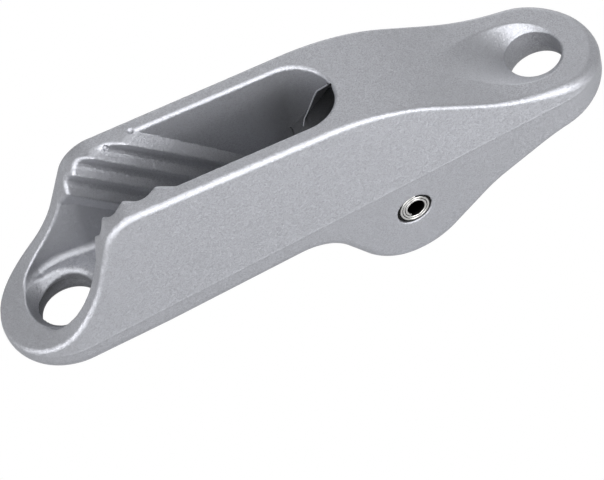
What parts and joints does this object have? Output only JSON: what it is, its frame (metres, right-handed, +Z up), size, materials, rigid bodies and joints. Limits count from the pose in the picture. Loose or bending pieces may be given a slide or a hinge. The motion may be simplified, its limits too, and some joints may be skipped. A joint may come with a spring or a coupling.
{
  "type": "jam cleat",
  "caption": "Cast jam cleat with an eye at each end, an open rope channel with slanted gripping teeth, and a roller on a coiled pin in the hump below.",
  "frame": {"origin": "centre of the bounding box at ground level, with the cleat resting on its heel's lower edge and its hump", "axes": "+X from the heel eye at the channel's mouth towards the raised head eye, +Y across, +Z up"},
  "size_m": [0.1016, 0.0206, 0.034],
  "materials": {
    "casting": "satin as-cast metal with a fine sparkling grain",
    "pin": "plain rolled stainless strip",
    "roller": "plain moulded acetal"
  },
  "bodies": {
    "cleat": {"cleat_body": "casting", "axle_pin": "pin"},
    "roller": {"roller": "roller"}
  },
  "joints": [
    {"name": "roller_spin", "type": "hinge", "parent": "cleat", "child": "roller", "pos_m": [0.01442, 0, 0.01125], "axis": [0, 1, 0], "continuous": true}
  ]
}
